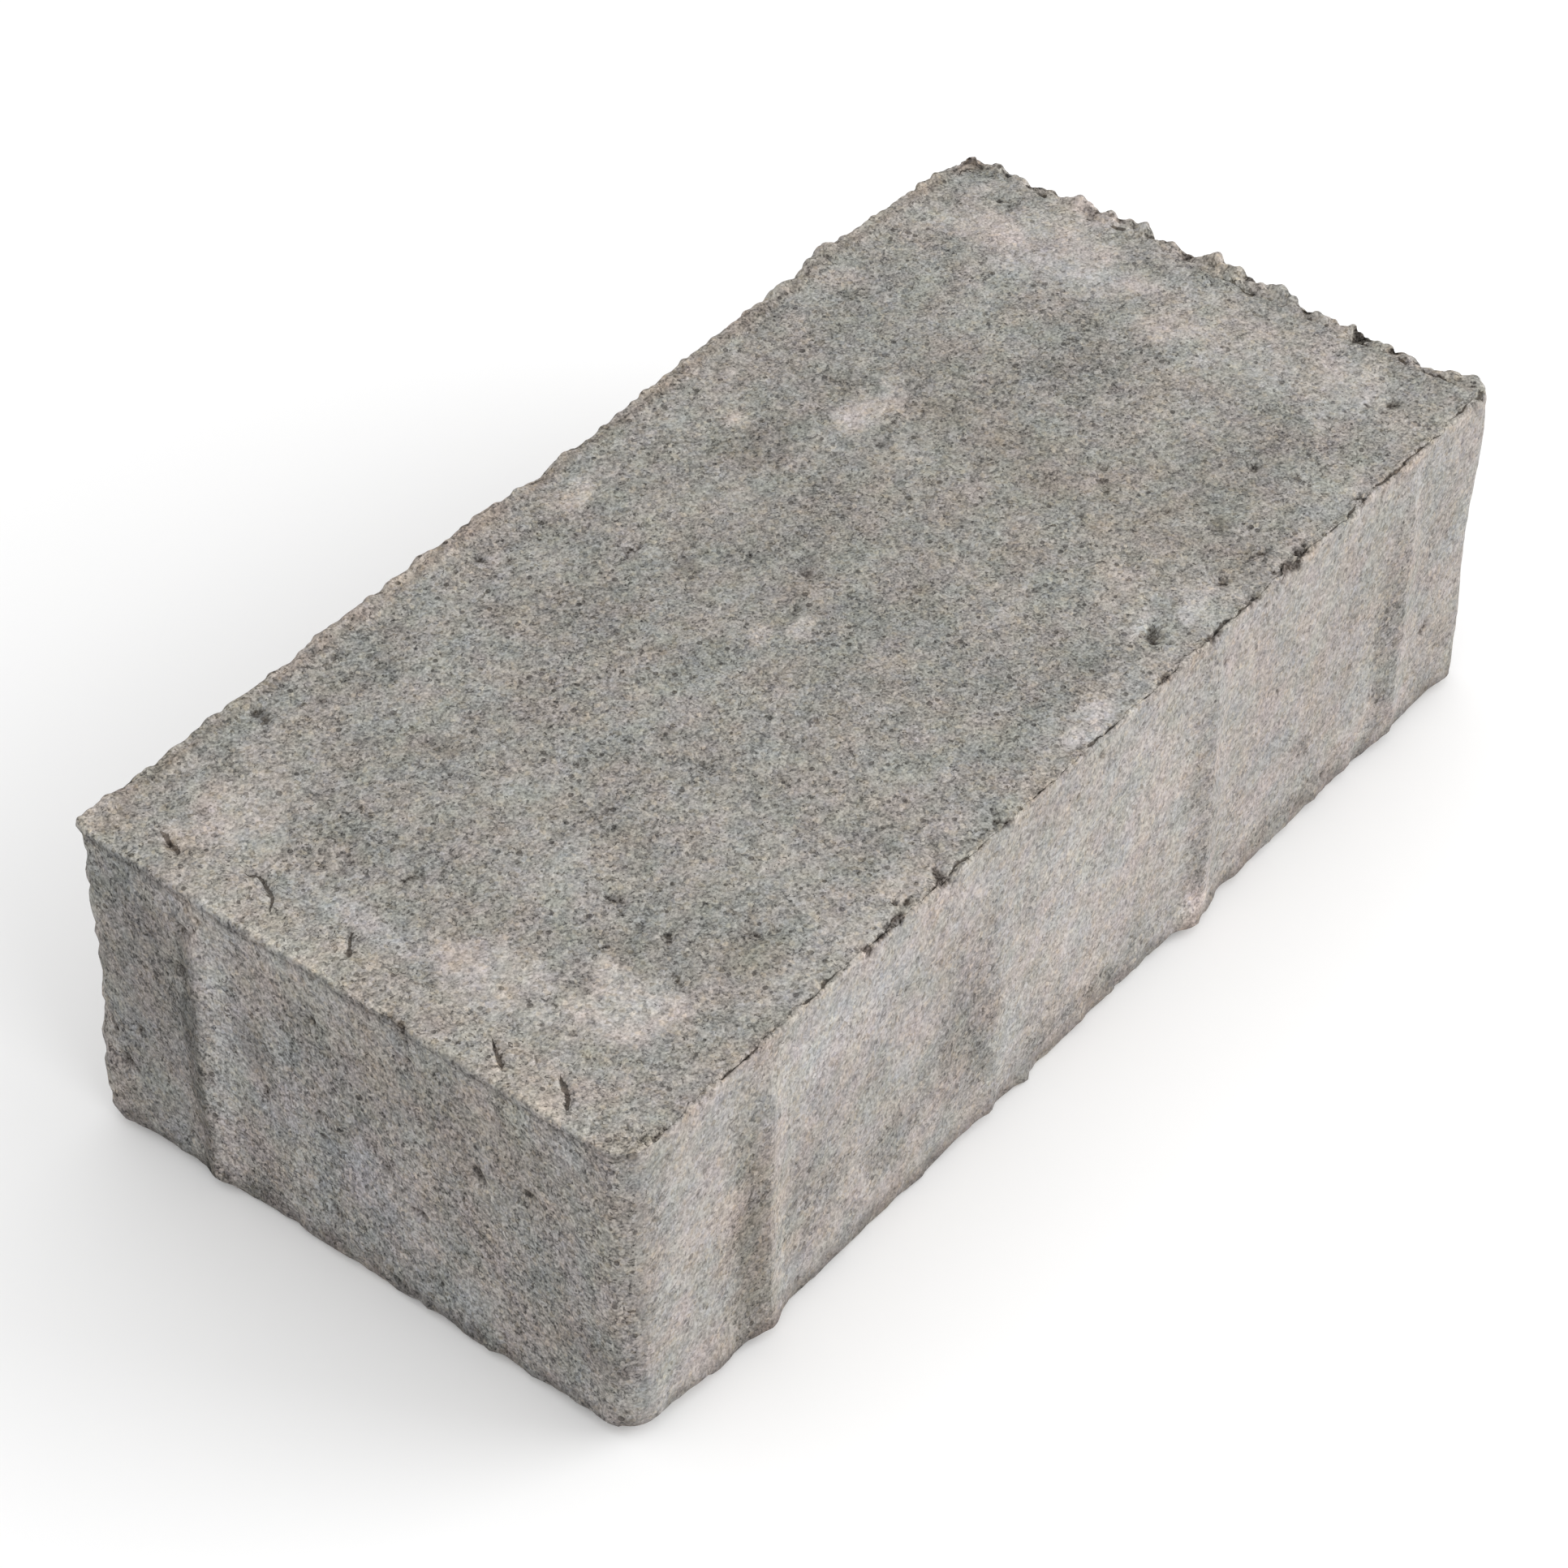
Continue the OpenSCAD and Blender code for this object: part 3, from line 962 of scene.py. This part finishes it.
def concrete_finish():
    """Grey concrete: mottled paste, sand grains of many tones, small dark pores, dirt in the
    cracks, painted shade and highlight on the rib flanks, painted shade in the hollows, between the
    crumbs, under the upper edge of the left end, along the foot and inside the back lip, and a
    beige raw lip with a painted highlight along its left edge."""
    make = Finish("pressed_concrete")
    # The patterns are read in mm and drawn out a little upwards
    position = make.add("ShaderNodeTexCoord").outputs["Object"]
    in_mm = {0: position, 1: (1 / MM, 1 / MM, 0.85 / MM)}
    make.place = make.add("ShaderNodeVectorMath", in_mm, operation="MULTIPLY").outputs[0]

    grain_far, grain_pick = make.cells(0.7, shift=7.0)
    pick = make.add("ShaderNodeSeparateColor", {0: grain_pick}).outputs
    fine = make.noise(0.42, 1.0, 0.6, shift=15.0)
    colour = make.scaled(paste_colour(make), grain_shade(make, fine, pick[0]))
    colour = make.tint(colour, make.ramp(pick[1], 0.75, 1.0), (1.05, 1.005, 0.93))
    colour = make.tint(colour, make.ramp(pick[2], 0.75, 1.0), (0.985, 1.0, 1.05))
    pores = dark_pores(make)
    colour = make.tint(colour, pores, (0.30, 0.285, 0.28))

    frayed = make.noise(0.8, 2.0, 0.6, shift=97.0)
    # Painted shade on the rib flanks turned from the lamps, then a painted highlight on the lit
    # flanks beyond the crests
    rib_shade_and_highlight = make.math("MULTIPLY_ADD", make.math("SUBTRACT", frayed, 0.5), 0.6, make.mark("rib_shade_and_highlight"))
    colour = make.tint(colour, make.ramp(rib_shade_and_highlight, 0.1, 0.9), (0.62, 0.615, 0.60))
    colour = make.tint(colour, make.ramp(make.mark("rib_shade_and_highlight"), 0.0, -0.6), (1.16, 1.16, 1.17))
    # Painted shade under the upper edge of the left end, along the foot and in the crease inside
    # the back lip
    colour = make.tint(colour, make.mark("painted_shade"), (0.74, 0.725, 0.72))

    crack = crack_dirt(make, frayed)
    # Painted shade in the hollows and in the gaps between the crumbs, darkest where they are
    # deepest
    hole = make.math("MULTIPLY_ADD", make.math("SUBTRACT", frayed, 0.5), 1.2, make.mark("recess_shade"))
    colour = make.tint(colour, crack, (0.33, 0.305, 0.285))
    depth = make.math("MULTIPLY", make.ramp(hole, 0.3, 0.8), make.ramp(fine, 0.35, 0.6, 1.0, 0.7))
    colour = make.tint(colour, depth, (0.17, 0.145, 0.13))

    dome = make.math("MULTIPLY", make.ramp(grain_far, 0.0, 0.6, 1.0, 0.0), pick[2])
    height = make.math("ADD", make.math("MULTIPLY", dome, 0.4), make.math("MULTIPLY", fine, 0.5))
    height = make.math("SUBTRACT", height, pores)
    height = make.math("MULTIPLY", height, make.mark("grit"))
    height = make.math("SUBTRACT", height, crack)
    bump = make.add("ShaderNodeBump", {"Height": height, "Strength": 0.8, "Distance": 0.3 * MM})

    roughness = make.ramp(make.noise(3.0, 2.0, 0.5, shift=60.0), 0.3, 0.7, 0.82, 0.95)
    shader = make.add(
        "ShaderNodeBsdfPrincipled",
        {"Base Color": colour, "Roughness": roughness, "Normal": bump.outputs[0]})
    shader.inputs["Specular IOR Level"].default_value = 0.25
    output = make.add("ShaderNodeOutputMaterial")
    make.tree.links.new(shader.outputs[0], output.inputs["Surface"])
    return make.material


# -------------------------------------------------------------- floor and light

# In metres, except for the lens and its sensor, which are in mm
FLOOR_SIZE = 12
LAMP_DISTANCE = 2.2
CAMERA_LENS, SENSOR_WIDTH = 105.98, 36
CAMERA_PLACE = (-0.40183, -0.31778, 0.50763)
CAMERA_TARGET = (0.00558, 0.01081, 0.0101)


def make_floor():
    """Wide pale floor at the level of the underside."""
    bpy.ops.mesh.primitive_plane_add(size=FLOOR_SIZE)
    floor = bpy.context.object
    floor.name = "floor"
    material = bpy.data.materials.new("pale_floor")
    material.use_nodes = True
    shader = material.node_tree.nodes["Principled BSDF"]
    shader.inputs["Base Color"].default_value = (0.92, 0.92, 0.92, 1)
    shader.inputs["Roughness"].default_value = 1.0
    shader.inputs["Specular IOR Level"].default_value = 0.0
    floor.data.materials.append(material)


def hang_lamp(name, direction, energy, size):
    """Square soft lamp, out of the camera's sight, that shines at the stone."""
    lamp = bpy.data.lights.new(name, "AREA")
    lamp.energy = energy
    lamp.size = size
    holder = bpy.data.objects.new(name, lamp)
    way = Vector(direction).normalized()
    holder.location = way * LAMP_DISTANCE
    holder.rotation_euler = way.to_track_quat("Z", "Y").to_euler()
    holder.visible_camera = False
    bpy.context.collection.objects.link(holder)


def make_light():
    """Even white surroundings, a large soft lamp low on the right, and a weaker
    one in front that brings out the rib of the left end."""
    world = bpy.data.worlds.new("studio")
    world.use_nodes = True
    background = world.node_tree.nodes["Background"]
    background.inputs["Color"].default_value = (1, 1, 1, 1)
    background.inputs["Strength"].default_value = 1.0
    bpy.context.scene.world = world
    hang_lamp("key", (0.69, -0.67, 0.36), 29, 1.7)
    hang_lamp("fill", (-0.25, -0.93, 0.28), 12, 1.0)


def make_camera():
    """Long lens above the near left corner, held level."""
    camera = bpy.data.objects.new("camera", bpy.data.cameras.new("camera"))
    camera.data.lens = CAMERA_LENS
    camera.data.sensor_width = SENSOR_WIDTH
    camera.location = CAMERA_PLACE
    look = Vector(CAMERA_TARGET) - camera.location
    camera.rotation_euler = look.to_track_quat("-Z", "Y").to_euler()
    camera.data.clip_end = 20
    bpy.context.collection.objects.link(camera)
    bpy.context.scene.camera = camera


# -------------------------------------------------------------------- assembly

bpy.context.scene.view_settings.view_transform = "Standard"
stone = make_stone()
stone.data.materials.append(concrete_finish())
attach(stone, "root")
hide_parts("paving_stone")
make_floor()
make_light()
make_camera()
